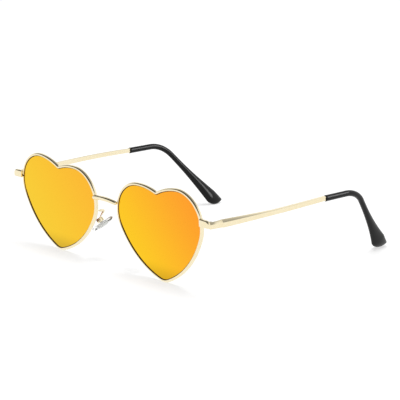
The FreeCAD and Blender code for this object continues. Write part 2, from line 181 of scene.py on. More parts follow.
def heart_line(offset):
    """Heart outline moved outward by offset, from under the slit round to above it."""
    def heading(run):
        return math.atan2(run.y, run.x)

    lobe = Vector((heart_width / 2 - lobe_radius, heart_height - lobe_radius))
    shoulder = Vector((lobe.x, heart_height - shoulder_radius))
    tip = Vector((0, tip_radius))
    notch_rise = math.sqrt((shoulder_radius + notch_radius) ** 2 - shoulder.x ** 2)
    notch = Vector((0, shoulder.y + notch_rise))
    to_lobe = flank_radius - lobe_radius
    to_tip = flank_radius - tip_radius
    base = lobe - tip
    along = (to_tip ** 2 - to_lobe ** 2 + base.length_squared) / (2 * base.length)
    aside = math.sqrt(to_tip ** 2 - along ** 2)
    direction = base.normalized()
    flank = tip + direction * along + Vector((-direction.y, direction.x)) * aside
    down = -math.pi / 2
    gap_turn = slit_gap / 2 / lobe_radius
    upper = arc(notch, notch_radius, -offset, down, heading(shoulder - notch))
    upper += arc(shoulder, shoulder_radius, offset, heading(notch - shoulder), math.pi / 2)
    lower = arc(flank, flank_radius, offset, heading(lobe - flank), heading(tip - flank))
    lower += arc(tip, tip_radius, offset, heading(tip - flank), down)
    above_slit = arc(lobe, lobe_radius, offset, math.pi / 2, slit_angle + gap_turn)
    below_slit = arc(lobe, lobe_radius, offset, slit_angle - gap_turn, heading(lobe - flank))
    whole = upper + above_slit + below_slit + lower + [tip + Vector((0, -tip_radius - offset))]
    other = [Vector((-p.x, p.y)) for p in reversed(whole[1:-1])]
    split = len(upper + above_slit)
    return whole[split:] + other + whole[:split]


def new_tree(name, sizes):
    """Node tree with its inputs: a line of points, named sizes and a material."""
    tree = bpy.data.node_groups.new(name, "GeometryNodeTree")
    tree.interface.new_socket("Geometry", in_out="OUTPUT", socket_type="NodeSocketGeometry")
    kinds = {"Geometry": "Geometry"} | sizes | {"Material": "Material"}
    for socket, kind in kinds.items():
        tree.interface.new_socket(socket, in_out="INPUT", socket_type=f"NodeSocket{kind}")
    return tree, add_node(tree, "NodeGroupInput").outputs


def sum_of(tree, operation, *values):
    """Result of one step of arithmetic on numbers or sockets."""
    made = add_node(tree, "ShaderNodeMath", dict(enumerate(values)), operation=operation)
    return made.outputs[0]


def close_tree(tree, swept, material):
    """Smooths what a tree has swept, makes it plain, sets its material and gives it out."""
    for kind in ("GeometryNodeSetShadeSmooth", "GeometryNodeRealizeInstances"):
        swept = add_node(tree, kind, {"Geometry": swept.outputs[0]})
    swept = add_node(
        tree, "GeometryNodeSetMaterial", {"Geometry": swept.outputs[0], "Material": material}
    )
    add_node(tree, "NodeGroupOutput", {"Geometry": swept.outputs[0]})


def rim_tree():
    """Sweeps the grooved section along a heart line that lies flat."""
    tree, given = new_tree("grooved_rim", dict.fromkeys(rim_sizes, "Float"))
    front = sum_of(tree, "MULTIPLY", given["Proud"], -1)
    back = sum_of(tree, "ADD", front, given["Depth"])
    groove_front = sum_of(tree, "ADD", front, given["Lip"])
    groove_back = sum_of(tree, "ADD", groove_front, given["Groove Width"])
    corners = [
        (given["Width"], front, "Outer Round"),
        (given["Width"], back, "Outer Round"),
        (0, back, "Inner Round"),
        (0, groove_back, "Inner Round"),
        (given["Groove Depth"], groove_back, None),
        (given["Groove Depth"], groove_front, None),
        (0, groove_front, "Inner Round"),
        (0, front, "Inner Round"),
    ]
    index = add_node(tree, "GeometryNodeInputIndex").outputs[0]
    place = add_node(tree, "GeometryNodeIndexSwitch", {"Index": index}, data_type="VECTOR")
    round_off = add_node(tree, "GeometryNodeIndexSwitch", {"Index": index}, data_type="FLOAT")
    for number, (out, depth, rounding) in enumerate(corners):
        if number == len(place.index_switch_items):
            place.index_switch_items.new()
            round_off.index_switch_items.new()
        corner = add_node(tree, "ShaderNodeCombineXYZ", {"X": out, "Y": depth})
        tree.links.new(corner.outputs[0], place.inputs[str(number)])
        if rounding:
            tree.links.new(given[rounding], round_off.inputs[str(number)])
    row = add_node(tree, "GeometryNodeMeshLine", {"Count": len(corners)})
    row = add_node(tree, "GeometryNodeMeshToCurve", {"Mesh": row.outputs[0]})
    row = add_node(
        tree,
        "GeometryNodeSetPosition",
        {"Geometry": row.outputs[0], "Position": place.outputs[0]},
    )
    row = add_node(
        tree, "GeometryNodeSetSplineCyclic", {"Geometry": row.outputs[0], "Cyclic": True}
    )
    section = add_node(
        tree,
        "GeometryNodeFilletCurve",
        {"Curve": row.outputs[0], "Radius": round_off.outputs[0], "Count": rim_round_steps},
        mode="POLY",
    )
    line = add_node(tree, "GeometryNodeMeshToCurve", {"Mesh": given["Geometry"]})
    line = add_node(tree, "GeometryNodeSetCurveNormal", {"Curve": line.outputs[0]}, mode="Z_UP")
    swept = add_node(
        tree,
        "GeometryNodeCurveToMesh",
        {"Curve": line.outputs[0], "Profile Curve": section.outputs[0], "Fill Caps": True},
    )
    close_tree(tree, swept, given["Material"])
    return tree


def grow(tree, points, sizes):
    """Runs a node tree on a line of points and gives the plain mesh that it makes."""
    line = bpy.data.meshes.new(tree.name)
    line.from_pydata(points, [(n, n + 1) for n in range(len(points) - 1)], [])
    carrier = bpy.data.objects.new(tree.name, line)
    bpy.context.scene.collection.objects.link(carrier)
    modifier = carrier.modifiers.new(tree.name, "NODES")
    modifier.node_group = tree
    for item in tree.interface.items_tree:
        if item.in_out == "INPUT" and item.name in sizes:
            modifier[item.identifier] = sizes[item.name]
    graph = bpy.context.evaluated_depsgraph_get()
    mesh = bpy.data.meshes.new_from_object(carrier.evaluated_get(graph), depsgraph=graph)
    bpy.data.objects.remove(carrier)
    return mesh


def turn_outward(mesh, sharp_angle=crisp_angle):
    """Merges doubles, points all faces outward and keeps edges past an angle crisp."""
    skin = bmesh.new()
    skin.from_mesh(mesh)
    bmesh.ops.remove_doubles(skin, verts=skin.verts, dist=weld_distance)
    bmesh.ops.recalc_face_normals(skin, faces=skin.faces)
    skin.to_mesh(mesh)
    skin.free()
    mesh.shade_smooth()
    mesh.set_sharp_from_angle(angle=sharp_angle)


def seat_on(mesh, node):
    """Moves a mesh so that the middle of its box falls on that of a CAD node."""
    low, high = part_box(node)
    spread = list(zip(*(vertex.co for vertex in mesh.vertices)))
    middle = Vector([(min(run) + max(run)) / 2 for run in spread])
    mesh.transform(Matrix.Translation((low + high) / 2 - middle))


def other_side(mesh):
    """Mirror image of a mesh, for the wearer's right."""
    mirrored = mesh.copy()
    mirrored.transform(Matrix.Scale(-1, 4, (1, 0, 0)))
    mirrored.flip_normals()
    return mirrored


def fit_piece(name, mesh, body, slot, *nodes):
    """Puts a finished mesh on a body, in place of CAD nodes."""
    piece = bpy.data.objects.new(name, mesh)
    bpy.context.scene.collection.objects.link(piece)
    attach(piece, body)
    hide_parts(*nodes)
    return piece


def fit_pair(name, mesh, body, slot, *nodes):
    """Fits a mesh on the wearer's left, and its mirror image on the right."""
    pieces = []
    for side, shape in (("left", mesh), ("right", other_side(mesh))):
        rider = body if body == "front" else f"{body}_{side}"
        replaced = [f"{node}_{side}" for node in nodes]
        pieces.append(fit_piece(f"{name}_{side}", shape, rider, slot, *replaced))
    return pieces


stand_up = Matrix.Rotation(math.pi / 2, 4, "X")
rim_line = [(p.x, p.y, 0) for p in reversed(heart_line(0))]
rim_mesh = grow(rim_tree(), rim_line, rim_sizes | {"Material": pale_gold})
rim_mesh.transform(stance @ stand_up)
turn_outward(rim_mesh)
seat_on(rim_mesh, "rim_left")
fit_pair("gold_rim", rim_mesh, "front", "frame_metal", "rim")


# Lenses
# Flat heart shaped plates of amber tinted plastic, 1.6 mm thick, stepped to sit in the groove.
# The front has a mirror coating that runs from yellow to orange, with painted shade at its tip.
lens_rings = [
    (-0.00035, 0),
    (-0.0001, 0.0002),
    (-0.0001, 0.0003),
    (0.0006, 0.0003),
    (0.0006, 0.0011),
    (-0.0001, 0.0011),
    (-0.0001, 0.0015),
    (-0.0002, 0.0016),
]
mirror_shades = {
    "left": [(0.0, (253, 208, 28)), (0.45, (254, 191, 34)), (1.0, (255, 152, 42))],
    "right": [(0.0, (247, 208, 46)), (0.5, (251, 199, 40)), (1.0, (253, 182, 44))],
}
mirror_lean = math.radians(-40)
# Painted shade: the coating's colour is darkened toward the tip and stands for the shadowed floor
# it mirrors.
painted_tip_shade_level = 0.72
painted_tip_shade_height = 0.009
mirror_smooth = 0.03
mirror_coarse = 0.08
mirror_cloud_scale = 90
tint_deep = (166, 98, 36)
tint_pale = (176, 108, 42)
tint_roughness = 0.04
tint_bending = 1.5
tint_cloud_scale = 60
# Painted shade: the lens's front edge is coloured dark brown and stands for the shade along the
# rim's lip.
painted_shade_edge_colour = (76, 42, 10)
painted_shade_edge_dip = 0.5
painted_shade_edge_roughness = 0.6
painted_shade_edge_shine = 0.2
painted_shade_edge_grain_scale = 2600
lens_crisp_angle = math.radians(20)


def run_of(tree, value, start, end, low=0, high=1, kind="LINEAR"):
    """Number that runs from low to high while a value goes from start to end."""
    sources = {"Value": value, "From Min": start, "From Max": end, "To Min": low, "To Max": high}
    return add_node(tree, "ShaderNodeMapRange", sources, interpolation_type=kind).outputs[0]


def mirror_coat_finish(side):
    """Mirror coating whose colour runs up and across the lens, with painted shade at the tip."""
    finish, tree, shader, place = new_finish(f"mirror_coat_{side}")
    low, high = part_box(f"lens_{side}")
    middle = (low + high) / 2
    reach = (high.x - low.x) / 2
    centred = add_node(
        tree,
        "ShaderNodeMapping",
        {"Vector": place, "Location": middle, "Rotation": (0, mirror_lean, 0)},
        vector_type="TEXTURE",
    )
    across = add_node(tree, "ShaderNodeSeparateXYZ", {"Vector": centred.outputs[0]}).outputs["X"]
    ramp = add_node(tree, "ShaderNodeValToRGB", {"Fac": run_of(tree, across, -reach, reach)})
    ramp.color_ramp.interpolation = "B_SPLINE"
    stops = ramp.color_ramp.elements
    for position, _ in mirror_shades[side][1:-1]:
        stops.new(position)
    for stop, (position, colour) in zip(stops, mirror_shades[side]):
        stop.position = position
        stop.color = shade(*colour)
    # Painted shade: the colour darkens toward the bottom tip, as a painted reflection of the
    # shadowed floor.
    height = add_node(tree, "ShaderNodeSeparateXYZ", {"Vector": place}).outputs["Z"]
    fade_end = low.z + painted_tip_shade_height
    painted_tip_darkening = run_of(tree, height, low.z, fade_end, painted_tip_shade_level, 1, "SMOOTHSTEP")
    colour_with_painted_shade = add_node(
        tree,
        "ShaderNodeVectorMath",
        {0: ramp.outputs["Color"], "Scale": painted_tip_darkening},
        operation="SCALE",
    )
    rough = blend_of(tree, cloud_of(tree, place, mirror_cloud_scale), mirror_smooth, mirror_coarse)
    tree.links.new(colour_with_painted_shade.outputs[0], shader.inputs["Base Color"])
    tree.links.new(rough, shader.inputs["Roughness"])
    shader.inputs["Metallic"].default_value = 1
    return finish


def amber_tint_finish():
    """Clear plastic of the lens body, tinted amber, seen from behind and at its edge."""
    finish, tree, shader, place = new_finish("amber_tint")
    cloud = cloud_of(tree, place, tint_cloud_scale)
    colour = blend_of(tree, cloud, shade(*tint_deep), shade(*tint_pale))
    tree.links.new(colour, shader.inputs["Base Color"])
    shader.inputs["Roughness"].default_value = tint_roughness
    shader.inputs["IOR"].default_value = tint_bending
    shader.inputs["Transmission Weight"].default_value = 1
    return finish


def bare_edge_finish():
    """Ground edge of the lens where the coating ends, coloured dark brown as painted shade under
    the rim's lip.
    """
    finish, tree, shader, place = new_finish("painted_shade_edge")
    grain = cloud_of(tree, place, painted_shade_edge_grain_scale)
    dark = shade(*painted_shade_edge_colour)
    darker = [v * painted_shade_edge_dip for v in dark[:3]] + [1]
    tree.links.new(blend_of(tree, grain, darker, dark), shader.inputs["Base Color"])
    shader.inputs["Roughness"].default_value = painted_shade_edge_roughness
    shader.inputs["Specular IOR Level"].default_value = painted_shade_edge_shine
    return finish


def loft(rings, *finishes):
    """Closed skin through rings of points, with both ends filled."""
    skin = bmesh.new()
    rows = [[skin.verts.new(spot) for spot in ring] for ring in rings]
    for row, after in zip(rows, rows[1:]):
        for n in range(len(row)):
            skin.faces.new((row[n - 1], row[n], after[n], after[n - 1]))
    skin.faces.new(rows[0])
    skin.faces.new(rows[-1])
    mesh = bpy.data.meshes.new("skin")
    skin.to_mesh(mesh)
    skin.free()
    for finish in finishes:
        mesh.materials.append(finish)
    return mesh


amber_tint = amber_tint_finish()
painted_shade_edge = bare_edge_finish()
for side in ("left", "right"):
    rings = [[(p.x, depth, p.y) for p in heart_line(offset)] for offset, depth in lens_rings]
    mirror_coat = mirror_coat_finish(side)
    lens_finishes = [amber_tint, mirror_coat, painted_shade_edge]
    lens_mesh = loft(rings, *lens_finishes)
    # The front edge faces take the dark brown of the painted shade.
    for face in lens_mesh.polygons[:len(rings[0])]:
        face.material_index = lens_finishes.index(painted_shade_edge)
    front_face = min(lens_mesh.polygons, key=lambda face: (-len(face.vertices), face.center.y))
    front_face.material_index = lens_finishes.index(mirror_coat)
    lens_mesh.transform(stance)
    turn_outward(lens_mesh, lens_crisp_angle)
    if side == "right":
        lens_mesh = other_side(lens_mesh)
    seat_on(lens_mesh, f"lens_{side}")
    fit_piece(f"mirror_lens_{side}", lens_mesh, "front", "mirror_lens", f"lens_{side}")


# Bridge
# One arched gold wire across the nose, its rounded ends brazed on the fronts of both rims.
wire_sides = 20
wire_end_share = 0.01
bridge_radius = 0.0011
bridge_reach = 0.00854
bridge_arch = 0.00095
bridge_bow = 0.0005
bridge_steps = 60


def wire_tree():
    """Round wire along a line of points, with its ends rounded off."""
    tree, given = new_tree("round_wire", {"Radius": "Float", "Sides": "Int"})
    line = add_node(tree, "GeometryNodeMeshToCurve", {"Mesh": given["Geometry"]})
    travel = add_node(tree, "GeometryNodeSplineParameter").outputs["Length"]
    length = add_node(tree, "GeometryNodeSplineLength").outputs["Length"]
    from_end = sum_of(tree, "MINIMUM", travel, sum_of(tree, "SUBTRACT", length, travel))
    share = sum_of(tree, "MINIMUM", sum_of(tree, "DIVIDE", from_end, given["Radius"]), 1)
    short = sum_of(tree, "SUBTRACT", 1, share)
    squared = sum_of(tree, "MULTIPLY", short, short)
    swell = sum_of(tree, "SQRT", sum_of(tree, "SUBTRACT", 1 + wire_end_share ** 2, squared))
    line = add_node(
        tree, "GeometryNodeSetCurveRadius", {"Curve": line.outputs[0], "Radius": swell}
    )
    ring = add_node(
        tree,
        "GeometryNodeCurvePrimitiveCircle",
        {"Resolution": given["Sides"], "Radius": given["Radius"]},
    )
    swept = add_node(
        tree,
        "GeometryNodeCurveToMesh",
        {
            "Curve": line.outputs[0],
            "Profile Curve": ring.outputs[0],
            "Scale": add_node(tree, "GeometryNodeInputRadius").outputs[0],
            "Fill Caps": True,
        },
    )
    close_tree(tree, swept, given["Material"])
    return tree


round_wire = wire_tree()
bridge_low, bridge_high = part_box("bridge")
crown = Vector((0, bridge_low.y + bridge_radius, bridge_high.z - bridge_radius))
bridge_line = []
for step in range(bridge_steps + 1):
    across = 2 * step / bridge_steps - 1
    fall = Vector((bridge_reach * across, bridge_bow * across ** 2, -bridge_arch * across ** 2))
    bridge_line.append(crown + fall)
bridge_sizes = {"Radius": bridge_radius, "Sides": wire_sides, "Material": pale_gold}
bridge_mesh = grow(round_wire, bridge_line, bridge_sizes)
turn_outward(bridge_mesh)
fit_piece("gold_bridge", bridge_mesh, "front", "frame_metal", "bridge")


# End pieces and rim locks
# A gold lug brazed on the outer side of each rim carries the hinge, with the rim lock behind it.
# One small steel screw from below draws the two halves of the lock together.
lug_edge = 0.00018
lock_edge = 0.00008
edge_segments = 2
edge_profile = 0.5
cad_weld_distance = 2e-6
flat_angle = math.radians(2)
corner_angle = math.radians(35)
steel_cloud_scale = 2500
screw_dull = (190, 184, 170)
screw_bright = (222, 214, 196)
screw_smooth = 0.2
screw_coarse = 0.34


def steel_finish(name, dull, bright, smooth, coarse):
    """Steel of the small screws and plates, between two shades and two roughnesses."""
    finish, tree, shader, place = new_finish(name)
    cloud = cloud_of(tree, place, steel_cloud_scale)
    colour = blend_of(tree, cloud, shade(*dull), shade(*bright))
    rough = blend_of(tree, cloud, smooth, coarse)
    tree.links.new(colour, shader.inputs["Base Color"])
    tree.links.new(rough, shader.inputs["Roughness"])
    shader.inputs["Metallic"].default_value = 1
    return finish


screw_steel = steel_finish("screw_steel", screw_dull, screw_bright, screw_smooth, screw_coarse)


def soft_edged(node, edge, finish):
    """Copy of a small CAD piece with its sharp edges rounded off."""
    skin = bmesh.new()
    skin.from_mesh(frame["nodes"][node].data)
    bmesh.ops.remove_doubles(skin, verts=skin.verts, dist=cad_weld_distance)
    bmesh.ops.dissolve_limit(skin, angle_limit=flat_angle, verts=skin.verts, edges=skin.edges)
    corners = [e for e in skin.edges if e.is_manifold and e.calc_face_angle() > corner_angle]
    bmesh.ops.bevel(
        skin,
        geom=corners,
        offset=edge,
        segments=edge_segments,
        profile=edge_profile,
        affect="EDGES",
        clamp_overlap=True,
    )
    mesh = bpy.data.meshes.new(node)
    skin.to_mesh(mesh)
    skin.free()
    mesh.materials.append(finish)
    turn_outward(mesh)
    return mesh


for node, edge, finish, slot in (
    ("end_piece", lug_edge, pale_gold, "frame_metal"),
    ("rim_lock", lock_edge, pale_gold, "frame_metal"),
    ("rim_screw", lock_edge, screw_steel, "screw_metal"),
):
    fit_pair(f"finished_{node}", soft_edged(f"{node}_left", edge, finish), "front", slot, node)


# Hinges
# Three gold barrels on a steel pin: two stand on a leaf behind the end piece, and one on a leaf
# that is brazed to the inside of the temple's tongue. The pin is a slotted screw.
hinge_edge = 0.00008
for node, body, finish, slot in (
    ("hinge_front_leaf", "front", pale_gold, "frame_metal"),
    ("hinge_screw", "front", screw_steel, "screw_metal"),
    ("hinge_temple_leaf", "temple", pale_gold, "frame_metal"),
):
    fit_pair(f"finished_{node}", soft_edged(f"{node}_left", hinge_edge, finish), body, slot, node)


# Temples
# Each temple is a gold bar, thinned to a tongue beside the hinge and tapering toward the ear.
# It is drawn and stamped from one wire, and its end is a core inside the black tip.
joints = {joint["name"]: joint for joint in frame["joints"]}
hinge_spot = Vector(joints["temple_fold_left"]["pos_m"])
tongue_inner = 0.0015
tongue_outer = 0.0026
tongue_height = 0.00205
tongue_fall = 0.00025
tongue_rise = 0.00185
tongue_nose = 0.0009
tongue_nose_share = 0.16
tongue_front = -0.00245
tongue_back = 0.0061
tongue_shares = (0, 0.01, tongue_nose_share, 0.4, 0.65, 0.9)
tongue_corner = 0.00015
bar_begin = 0.0055
bar_fall = 0.0011
bar_start_height = 0.00235
bar_end_height = 0.002
bar_thickness = 0.0015
bar_swell = 0.0009
bar_roof = 0.00035
bar_roof_swell = 0.0009
bar_corner = 0.00028
bar_swell_share = 0.45
bar_run = Vector((0.00025, 0.0649, 0.0021))
bar_bow = Vector((0.00185, 0, 0.0004))
bar_steps = 40
bar_in_sleeve = 0.004
corner_steps = 4
temple_crisp_angle = math.radians(30)


def rounded_outline(corners, radius):
    """Points round a four sided section, with its corners rounded off."""
    outline = []
    for before, corner, after in zip(corners[-1:] + corners, corners, corners[1:] + corners[:1]):
        toward = (before - corner).normalized()
        away = (after - corner).normalized()
        half = toward.angle(away) / 2
        middle = corner + (toward + away).normalized() * (radius / math.sin(half))
        enter = corner + toward * (radius / math.tan(half)) - middle
        for step in range(corner_steps + 1):
            bend = (math.pi - 2 * half) * step / corner_steps
            outline.append(middle + Matrix.Rotation(bend, 3, away.cross(toward)) @ enter)
    return outline


def bar_section(wide, tall, roof):
    """Corners inward from the outer face, whose middle is the origin; the roof rises inward."""
    return [
        Vector((0, 0, -tall / 2)),
        Vector((0, 0, tall / 2)),
        Vector((-wide, 0, tall / 2 + roof)),
        Vector((-wide, 0, -tall / 2)),
    ]


hinge_tilt = Matrix.Rotation(tilt_angle, 4, "X")
temple_rings = []
for share in tongue_shares:
    inset = tongue_corner / 2 if share == 0 else 0
    fall = tongue_fall + (bar_fall - tongue_fall) * share
    top = tongue_height / 2 - fall
    raised = tongue_nose + (tongue_rise - tongue_nose) * min(share / tongue_nose_share, 1)
    wide = tongue_outer - tongue_inner - 2 * inset
    section = bar_section(wide, tongue_height - 2 * inset, raised - top)
    along = tongue_front + (tongue_back - tongue_front) * share
    middle = Matrix.Translation((tongue_outer - inset, along, -fall))
    spot = Matrix.Translation(hinge_spot) @ hinge_tilt @ middle
    temple_rings.append([spot @ p for p in rounded_outline(section, tongue_corner - inset / 2)])
bar_start = hinge_spot + hinge_tilt @ Vector((tongue_outer, bar_begin, -bar_fall))
for step in range(bar_steps + 1):
    share = step / bar_steps
    swell = max(1 - share / bar_swell_share, 0)
    tall = bar_start_height + (bar_end_height - bar_start_height) * share
    roof = bar_roof + bar_roof_swell * swell
    section = bar_section(bar_thickness + bar_swell * swell, tall, roof)
    spot = bar_start + bar_run * share + bar_bow * 4 * share * (1 - share)
    temple_rings.append([spot + p for p in rounded_outline(section, bar_corner)])
temple_rings.append([p + bar_run.normalized() * bar_in_sleeve for p in temple_rings[-1]])
temple_mesh = loft(temple_rings, pale_gold)
turn_outward(temple_mesh, temple_crisp_angle)
fit_pair("gold_temple", temple_mesh, "temple", "frame_metal", "temple")


# Temple tips
# Glossy black plastic sleeves, pushed over the end of each temple and bent down behind the ear.
# The sleeve is oval, and widens to a flat paddle whose lower edge curves up to its back edge.
elbow_run = Vector((-0.0003, 0.022, 0.0002))
elbow_radius = 0.017
drop_angle = math.radians(46.9)
lean_angle = math.radians(20.5)
sleeve_start = (0.003, 0.0027)
sleeve_elbow = (0.0029, 0.00275)
paddle = (0.0078, 0.0036)
paddle_end = 0.007
heel_share = 1.0
paddle_twist = math.radians(15)
elbow_share = 0.5
sleeve_steps = 90
sleeve_sides = 36
sleeve_lip = 0.00025
paddle_steps = 14
paddle_flat_step = 0.3
black_deep = (12, 12, 13)
black_pale = (22, 22, 22)
black_smooth = 0.1
black_coarse = 0.18
black_shine = 0.2
black_cloud_scale = 260
black_cloud_detail = 4
black_grain_scale = 5200
black_grain_strength = 0.05
black_grain_depth = 0.00003
tip_crisp_angle = math.radians(50)


def glossy_black_finish():
    """Polished black plastic with a faint haze of fine wear."""
    finish, tree, shader, place = new_finish("glossy_black")
    cloud = cloud_of(tree, place, black_cloud_scale, black_cloud_detail)
    grain = cloud_of(tree, place, black_grain_scale)
    colour = blend_of(tree, cloud, shade(*black_deep), shade(*black_pale))
    rough = blend_of(tree, cloud, black_smooth, black_coarse)
    bump = bump_of(tree, grain, black_grain_strength, black_grain_depth)
    tree.links.new(colour, shader.inputs["Base Color"])
    tree.links.new(rough, shader.inputs["Roughness"])
    tree.links.new(bump, shader.inputs["Normal"])
    shader.inputs["Specular IOR Level"].default_value = black_shine
    return finish


def across_sleeve(along, twist):
    """Thin direction of the sleeve: sideways, turned by a twist about its line."""
    aside = (Vector((1, 0, 0)) - along * along.x).normalized()
    return Matrix.Rotation(twist, 3, along) @ aside


def sleeve_ring(spot, along, height, thickness, twist):
    """Oval across the sleeve, taller than thick."""
    aside = across_sleeve(along, twist)
    up = aside.cross(along)
    ring = []
    for n in range(sleeve_sides):
        angle = 2 * math.pi * n / sleeve_sides
        ring.append(
            spot + aside * (math.cos(angle) * thickness / 2) + up * (math.sin(angle) * height / 2)
        )
    return ring


sleeve_begin = bar_start + bar_run - Vector((bar_thickness / 2, 0, 0))
elbow = sleeve_begin + elbow_run
drop_turn = Matrix.Rotation(lean_angle, 3, "Z") @ Matrix.Rotation(-drop_angle, 3, "X")
drop_line = drop_turn @ Vector((0, 1, 0))
straight = elbow_run.normalized()
turn = straight.angle(drop_line)
cut = elbow_radius * math.tan(turn / 2)
before = elbow_run.length - cut
paddle_side = across_sleeve(drop_line, paddle_twist)
paddle_up = paddle_side.cross(drop_line)
heel_lift = heel_share * paddle[0] / 2
paddle_depth = math.hypot(paddle[0] / 2 * paddle_up.z, paddle[1] / 2 * paddle_side.z)
paddle_fall = math.hypot(paddle_end * drop_line.z, heel_lift * paddle_up.z + paddle_depth)
paddle_fall -= heel_lift * paddle_up.z
drop_length = (elbow.z - paddle_fall) / -drop_line.z
sleeve_length = before + elbow_radius * turn + drop_length - cut


def sleeve_line(share):
    """Point and direction of the sleeve's middle line, at a share of its length."""
    travel = share * sleeve_length
    if travel <= before:
        return sleeve_begin + straight * travel, straight
    if travel >= before + elbow_radius * turn:
        return elbow + drop_line * (cut + travel - before - elbow_radius * turn), drop_line
    swing = Matrix.Rotation((travel - before) / elbow_radius, 3, straight.cross(drop_line))
    toward = (drop_line - straight * straight.dot(drop_line)).normalized() * elbow_radius
    return elbow - straight * cut + toward - swing @ toward, swing @ straight


tip_rings = []
for step in range(sleeve_steps + 1):
    share = step / sleeve_steps
    spot, along = sleeve_line(share)
    growth = min(share / elbow_share, 1)
    widen = max((share - elbow_share) / (1 - elbow_share), 0) ** 2
    height, thickness = (
        start + (middle - start) * growth + (end - middle) * widen
        for start, middle, end in zip(sleeve_start, sleeve_elbow, paddle)
    )
    if step == 0:
        tip_rings.append(sleeve_ring(spot, along, height - sleeve_lip, thickness - sleeve_lip, 0))
        spot += along * sleeve_lip / 2
    tip_rings.append(sleeve_ring(spot, along, height, thickness, paddle_twist * widen))
for step in range(1, paddle_steps + 1):
    angle = math.pi / 2 * step / (paddle_steps + paddle_flat_step)
    spot = elbow + drop_line * (drop_length + math.sin(angle) * paddle_end)
    spot += paddle_up * (heel_lift * (1 - math.cos(angle)))
    height, thickness = (size * math.cos(angle) for size in paddle)
    tip_rings.append(sleeve_ring(spot, drop_line, height, thickness, paddle_twist))
tip_mesh = loft(tip_rings, glossy_black_finish())
turn_outward(tip_mesh, tip_crisp_angle)
black_tips = fit_pair("black_tip", tip_mesh, "temple", "tip_plastic", "temple_tip")


# Nose pad arms and boxes
# A thin gold wire, brazed on the back of each rim, bends inward and down and ends in a small box.
# The box straddles the pad's eye, and a screw through both is the pin on which the pad rocks.
arm_radius = 0.00055
arm_root_run = Vector((-0.004624, -0.005026, 0.006143))
arm_corner_run = Vector((0.0011, 0.0047, -0.0004))
arm_root_share = 0.3
arm_bend = 0.002
arm_bend_steps = 12
box_roof = -0.00295
pad_pivot = 0.00195
pad_lie = Vector((-0.66, 0.45, 0.60))
box_edge = 0.00012
pad_joint = joints["pad_rock_left"]
pivot = Vector(pad_joint["pos_m"])
pad_across = Vector(pad_joint["axis"]).normalized()
pad_along = (pad_lie - pad_across * pad_lie.dot(pad_across)).normalized()
pad_out = pad_across.cross(pad_along)
pad_place = Matrix((pad_across, pad_along, pad_out)).transposed().to_4x4()
pad_place.translation = pivot + pad_out * pad_pivot

arm_root = pivot + arm_root_run
arm_corner = arm_root + arm_corner_run
arm_end = pad_place @ Vector((0, 0, box_roof))
toward = (arm_root - arm_corner).normalized()
away = (arm_end - arm_corner).normalized()
arm_turn = math.pi - toward.angle(away)
arm_cut = arm_bend * math.tan(arm_turn / 2)
arm_line = [arm_root, arm_root.lerp(arm_corner, arm_root_share)]
for step in range(arm_bend_steps + 1):
    share = step / arm_bend_steps
    enter = arm_corner + toward * arm_cut * (1 - share)
    leave = arm_corner + away * arm_cut * share
    arm_line.append(enter.lerp(leave, share))
arm_line += [arm_end]
arm_sizes = {"Radius": arm_radius, "Sides": wire_sides, "Material": pale_gold}
arm_mesh = grow(round_wire, arm_line, arm_sizes)
turn_outward(arm_mesh)
fit_pair("gold_pad_arm", arm_mesh, "front", "frame_metal", "pad_arm")
for node, finish, slot in (
    ("pad_box", pale_gold, "frame_metal"),
    ("pad_screw", screw_steel, "screw_metal"),
):
    fit_pair(f"finished_{node}", soft_edged(f"{node}_left", box_edge, finish), "front", slot, node)


# Nose pads
# Oval pads of clear silicone, domed toward the nose.
# Each is moulded round a small metal plate with an eye, which takes the pin of the box.
pad_half = Vector((0.0033, 0.006, 0.0016))
pad_hollow = 0.0007
pad_sides = 48
pad_profile = [
    (0.02, -0.88),
    (0.3, -0.88),
    (0.6, -0.92),
    (0.8, -1.0),
    (0.88, -0.98),
    (0.94, -0.8),
    (0.985, -0.4),
    (1.0, 0.0),
]
dome_steps = 14
dome_flat_step = 0.2
pad_crisp_angle = math.radians(60)
silicone_dull = (236, 238, 236)
silicone_bright = (248, 249, 248)
silicone_smooth = 0.06
silicone_coarse = 0.14
silicone_bending = 1.41
silicone_cloud_scale = 500
plate_edge = 0.00008
plate_dull = (240, 240, 236)
plate_bright = (250, 250, 248)
plate_smooth = 0.45
plate_coarse = 0.6


def clear_silicone_finish():
    """Clear soft silicone, a little milky."""
    finish, tree, shader, place = new_finish("clear_silicone")
    cloud = cloud_of(tree, place, silicone_cloud_scale)
    colour = blend_of(tree, cloud, shade(*silicone_dull), shade(*silicone_bright))
    rough = blend_of(tree, cloud, silicone_smooth, silicone_coarse)
    tree.links.new(colour, shader.inputs["Base Color"])
    tree.links.new(rough, shader.inputs["Roughness"])
    shader.inputs["IOR"].default_value = silicone_bending
    shader.inputs["Transmission Weight"].default_value = 1
    return finish


def pad_ring(reach, depth):
    """Oval ring of the pad, at a reach from its middle and a depth along its face."""
    ring = []
    for n in range(pad_sides):
        angle = 2 * math.pi * n / pad_sides
        across, along = math.cos(angle) * pad_half.x, math.sin(angle) * pad_half.y
        ring.append((across * reach, along * reach, depth))
    return ring


pad_rings = [pad_ring(reach, depth * pad_hollow) for reach, depth in pad_profile]
for step in range(1, dome_steps + 1):
    angle = math.pi / 2 * step / (dome_steps + dome_flat_step)
    pad_rings.append(pad_ring(math.cos(angle), math.sin(angle) * pad_half.z))
pad_mesh = loft(pad_rings, clear_silicone_finish())
pad_mesh.transform(pad_place)
turn_outward(pad_mesh, pad_crisp_angle)
for pad in fit_pair("clear_nose_pad", pad_mesh, "pad", "pad_silicone", "nose_pad"):
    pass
pad_plate = steel_finish("pad_plate", plate_dull, plate_bright, plate_smooth, plate_coarse)
insert_mesh = soft_edged("pad_insert_left", plate_edge, pad_plate)
fit_pair("finished_pad_insert", insert_mesh, "pad", "frame_metal", "pad_insert")


